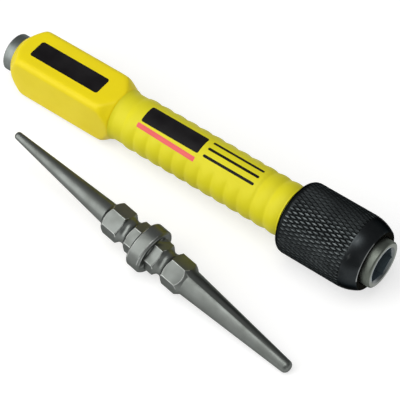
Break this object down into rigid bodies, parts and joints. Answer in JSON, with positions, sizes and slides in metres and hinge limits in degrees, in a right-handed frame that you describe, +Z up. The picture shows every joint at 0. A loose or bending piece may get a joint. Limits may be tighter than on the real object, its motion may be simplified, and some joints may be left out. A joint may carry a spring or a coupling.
{
  "type": "nail setter",
  "caption": "Hand nail setter with square struck head, ribbed grip and knurled quick-release hex chuck, and its loose double-ended punch bit.",
  "frame": {"origin": "centre of the strike face at the back of the tool, on the tool's axis", "axes": "+X along the tool's axis from strike face to nose, +Z up through the head's smooth upper face, +Y to the left seen from behind the strike face"},
  "size_m": [0.1148, 0.0435, 0.0198],
  "materials": {
    "bar_steel": "turned bare steel",
    "head_yellow": "hard moulded plastic, slightly glossy",
    "grip_yellow": "softer moulded plastic, satin",
    "chuck_steel": "turned steel, warm grey",
    "spring_steel": "spring steel",
    "sleeve_black": "black oxide, diamond knurled",
    "ball_steel": "polished bearing ball",
    "bit_steel": "satin grey steel"
  },
  "bodies": {
    "handle": {"striking_shank": "bar_steel", "head_block": "head_yellow", "grip_sleeve": "grip_yellow", "chuck_body": "chuck_steel", "snap_ring": "spring_steel"},
    "washer": {"spring_washer": "spring_steel", "release_spring": "spring_steel"},
    "sleeve": {"release_sleeve": "sleeve_black", "lock_ring": "chuck_steel"},
    "ball_1": {"detent_ball_1": "ball_steel"},
    "ball_2": {"detent_ball_2": "ball_steel"},
    "bit": {"double_ended_bit": "bit_steel"}
  },
  "joints": [
    {"name": "sleeve_spin", "type": "hinge", "parent": "handle", "child": "washer", "pos_m": [0.1, 0, 0], "axis": [1, 0, 0], "continuous": true},
    {"name": "sleeve_slide", "type": "slide", "parent": "washer", "child": "sleeve", "axis": [1, 0, 0], "range_m": [0, 0.0024], "stiffness_N_per_m": 1200, "springref_m": -0.003, "deforming": ["release_spring"]},
    {"name": "ball_1_slide", "type": "slide", "parent": "handle", "child": "ball_1", "axis": [0, 0.9903, 0.1392], "range_m": [0, 0.00069]},
    {"name": "ball_2_slide", "type": "slide", "parent": "handle", "child": "ball_2", "axis": [0, -0.9903, -0.1392], "range_m": [0, 0.00069]},
    {"name": "bit_lift", "type": "slide", "parent": "handle", "child": "bit", "axis": [0, 0, 1], "range_m": [0, 0.06]}
  ],
  "couplings": [
    {"joint": "ball_1_slide", "follows": "sleeve_slide", "ratio": 0.2875},
    {"joint": "ball_2_slide", "follows": "sleeve_slide", "ratio": 0.2875}
  ]
}
